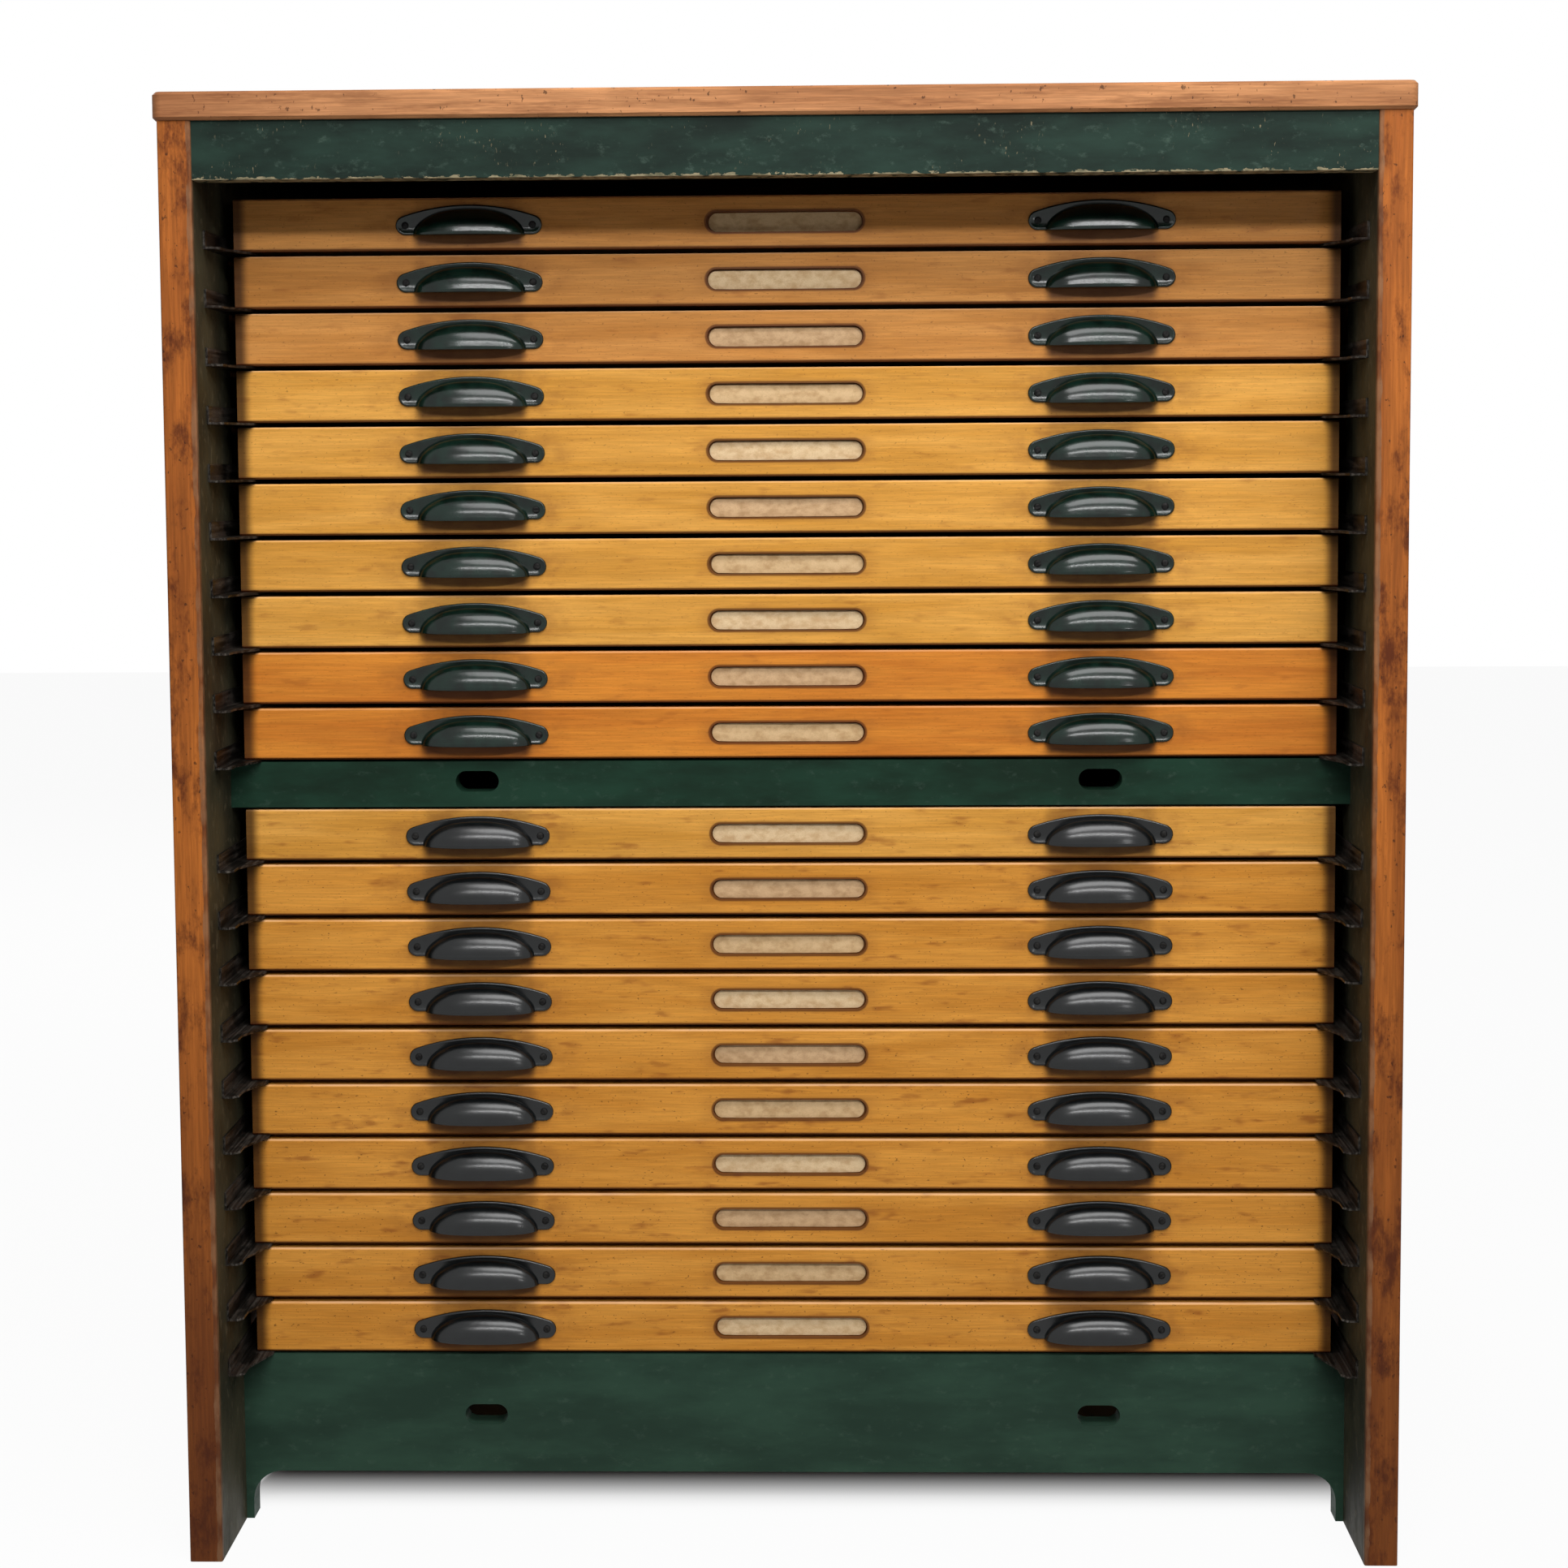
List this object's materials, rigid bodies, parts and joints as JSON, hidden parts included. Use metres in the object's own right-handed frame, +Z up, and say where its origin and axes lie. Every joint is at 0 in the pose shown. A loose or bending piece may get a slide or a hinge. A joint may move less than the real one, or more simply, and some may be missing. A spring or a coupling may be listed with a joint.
{
  "type": "type case cabinet",
  "caption": "Floor-standing wooden cabinet of shallow type cases with cup pulls and label windows, sliding on steel angle runners.",
  "frame": {"origin": "on the floor, at the middle of the footprint", "axes": "+Z up, the drawer fronts face -Y, +X is to the right seen from the front"},
  "size_m": [1.072, 0.7904, 1.285],
  "materials": {
    "case_wood": "oiled softwood, worn",
    "frame_wood": "oiled hardwood, worn",
    "top_wood": "oiled hardwood, stained and nicked",
    "painted_wood": "dark green oil paint, chipped",
    "panel_wood": "oiled thin boards",
    "pull_iron": "black enamel on cast iron",
    "runner_steel": "dark rolled steel"
  },
  "bodies": {
    "cabinet": {"top_board": "top_wood", "top_front_rail": "painted_wood", "middle_rail": "painted_wood", "base_front_panel": "painted_wood", "left_front_post": "frame_wood", "left_rear_post": "frame_wood", "left_side_rails": "frame_wood", "left_side_panels": "panel_wood", "left_runners": "runner_steel", "right_front_post": "frame_wood", "right_rear_post": "frame_wood", "right_side_rails": "frame_wood", "right_side_panels": "panel_wood", "right_runners": "runner_steel", "rear_bottom_rail": "frame_wood", "rear_top_rail": "frame_wood", "rear_muntin": "frame_wood", "back_panels": "panel_wood", "rear_stops": "frame_wood"},
    "drawer_01": {"drawer_01": "case_wood", "drawer_01_pulls": "pull_iron"},
    "drawer_02": {"drawer_02": "case_wood", "drawer_02_pulls": "pull_iron"},
    "drawer_03": {"drawer_03": "case_wood", "drawer_03_pulls": "pull_iron"},
    "drawer_04": {"drawer_04": "case_wood", "drawer_04_pulls": "pull_iron"},
    "drawer_05": {"drawer_05": "case_wood", "drawer_05_pulls": "pull_iron"},
    "drawer_06": {"drawer_06": "case_wood", "drawer_06_pulls": "pull_iron"},
    "drawer_07": {"drawer_07": "case_wood", "drawer_07_pulls": "pull_iron"},
    "drawer_08": {"drawer_08": "case_wood", "drawer_08_pulls": "pull_iron"},
    "drawer_09": {"drawer_09": "case_wood", "drawer_09_pulls": "pull_iron"},
    "drawer_10": {"drawer_10": "case_wood", "drawer_10_pulls": "pull_iron"},
    "drawer_11": {"drawer_11": "case_wood", "drawer_11_pulls": "pull_iron"},
    "drawer_12": {"drawer_12": "case_wood", "drawer_12_pulls": "pull_iron"},
    "drawer_13": {"drawer_13": "case_wood", "drawer_13_pulls": "pull_iron"},
    "drawer_14": {"drawer_14": "case_wood", "drawer_14_pulls": "pull_iron"},
    "drawer_15": {"drawer_15": "case_wood", "drawer_15_pulls": "pull_iron"},
    "drawer_16": {"drawer_16": "case_wood", "drawer_16_pulls": "pull_iron"},
    "drawer_17": {"drawer_17": "case_wood", "drawer_17_pulls": "pull_iron"},
    "drawer_18": {"drawer_18": "case_wood", "drawer_18_pulls": "pull_iron"},
    "drawer_19": {"drawer_19": "case_wood", "drawer_19_pulls": "pull_iron"},
    "drawer_20": {"drawer_20": "case_wood", "drawer_20_pulls": "pull_iron"}
  },
  "joints": [
    {"name": "drawer_01_slide", "type": "slide", "parent": "cabinet", "child": "drawer_01", "axis": [0, -1, 0], "range_m": [0, 0.5]},
    {"name": "drawer_02_slide", "type": "slide", "parent": "cabinet", "child": "drawer_02", "axis": [0, -1, 0], "range_m": [0, 0.5]},
    {"name": "drawer_03_slide", "type": "slide", "parent": "cabinet", "child": "drawer_03", "axis": [0, -1, 0], "range_m": [0, 0.5]},
    {"name": "drawer_04_slide", "type": "slide", "parent": "cabinet", "child": "drawer_04", "axis": [0, -1, 0], "range_m": [0, 0.5]},
    {"name": "drawer_05_slide", "type": "slide", "parent": "cabinet", "child": "drawer_05", "axis": [0, -1, 0], "range_m": [0, 0.5]},
    {"name": "drawer_06_slide", "type": "slide", "parent": "cabinet", "child": "drawer_06", "axis": [0, -1, 0], "range_m": [0, 0.5]},
    {"name": "drawer_07_slide", "type": "slide", "parent": "cabinet", "child": "drawer_07", "axis": [0, -1, 0], "range_m": [0, 0.5]},
    {"name": "drawer_08_slide", "type": "slide", "parent": "cabinet", "child": "drawer_08", "axis": [0, -1, 0], "range_m": [0, 0.5]},
    {"name": "drawer_09_slide", "type": "slide", "parent": "cabinet", "child": "drawer_09", "axis": [0, -1, 0], "range_m": [0, 0.5]},
    {"name": "drawer_10_slide", "type": "slide", "parent": "cabinet", "child": "drawer_10", "axis": [0, -1, 0], "range_m": [0, 0.5]},
    {"name": "drawer_11_slide", "type": "slide", "parent": "cabinet", "child": "drawer_11", "axis": [0, -1, 0], "range_m": [0, 0.5]},
    {"name": "drawer_12_slide", "type": "slide", "parent": "cabinet", "child": "drawer_12", "axis": [0, -1, 0], "range_m": [0, 0.5]},
    {"name": "drawer_13_slide", "type": "slide", "parent": "cabinet", "child": "drawer_13", "axis": [0, -1, 0], "range_m": [0, 0.5]},
    {"name": "drawer_14_slide", "type": "slide", "parent": "cabinet", "child": "drawer_14", "axis": [0, -1, 0], "range_m": [0, 0.5]},
    {"name": "drawer_15_slide", "type": "slide", "parent": "cabinet", "child": "drawer_15", "axis": [0, -1, 0], "range_m": [0, 0.5]},
    {"name": "drawer_16_slide", "type": "slide", "parent": "cabinet", "child": "drawer_16", "axis": [0, -1, 0], "range_m": [0, 0.5]},
    {"name": "drawer_17_slide", "type": "slide", "parent": "cabinet", "child": "drawer_17", "axis": [0, -1, 0], "range_m": [0, 0.5]},
    {"name": "drawer_18_slide", "type": "slide", "parent": "cabinet", "child": "drawer_18", "axis": [0, -1, 0], "range_m": [0, 0.5]},
    {"name": "drawer_19_slide", "type": "slide", "parent": "cabinet", "child": "drawer_19", "axis": [0, -1, 0], "range_m": [0, 0.5]},
    {"name": "drawer_20_slide", "type": "slide", "parent": "cabinet", "child": "drawer_20", "axis": [0, -1, 0], "range_m": [0, 0.5]}
  ]
}
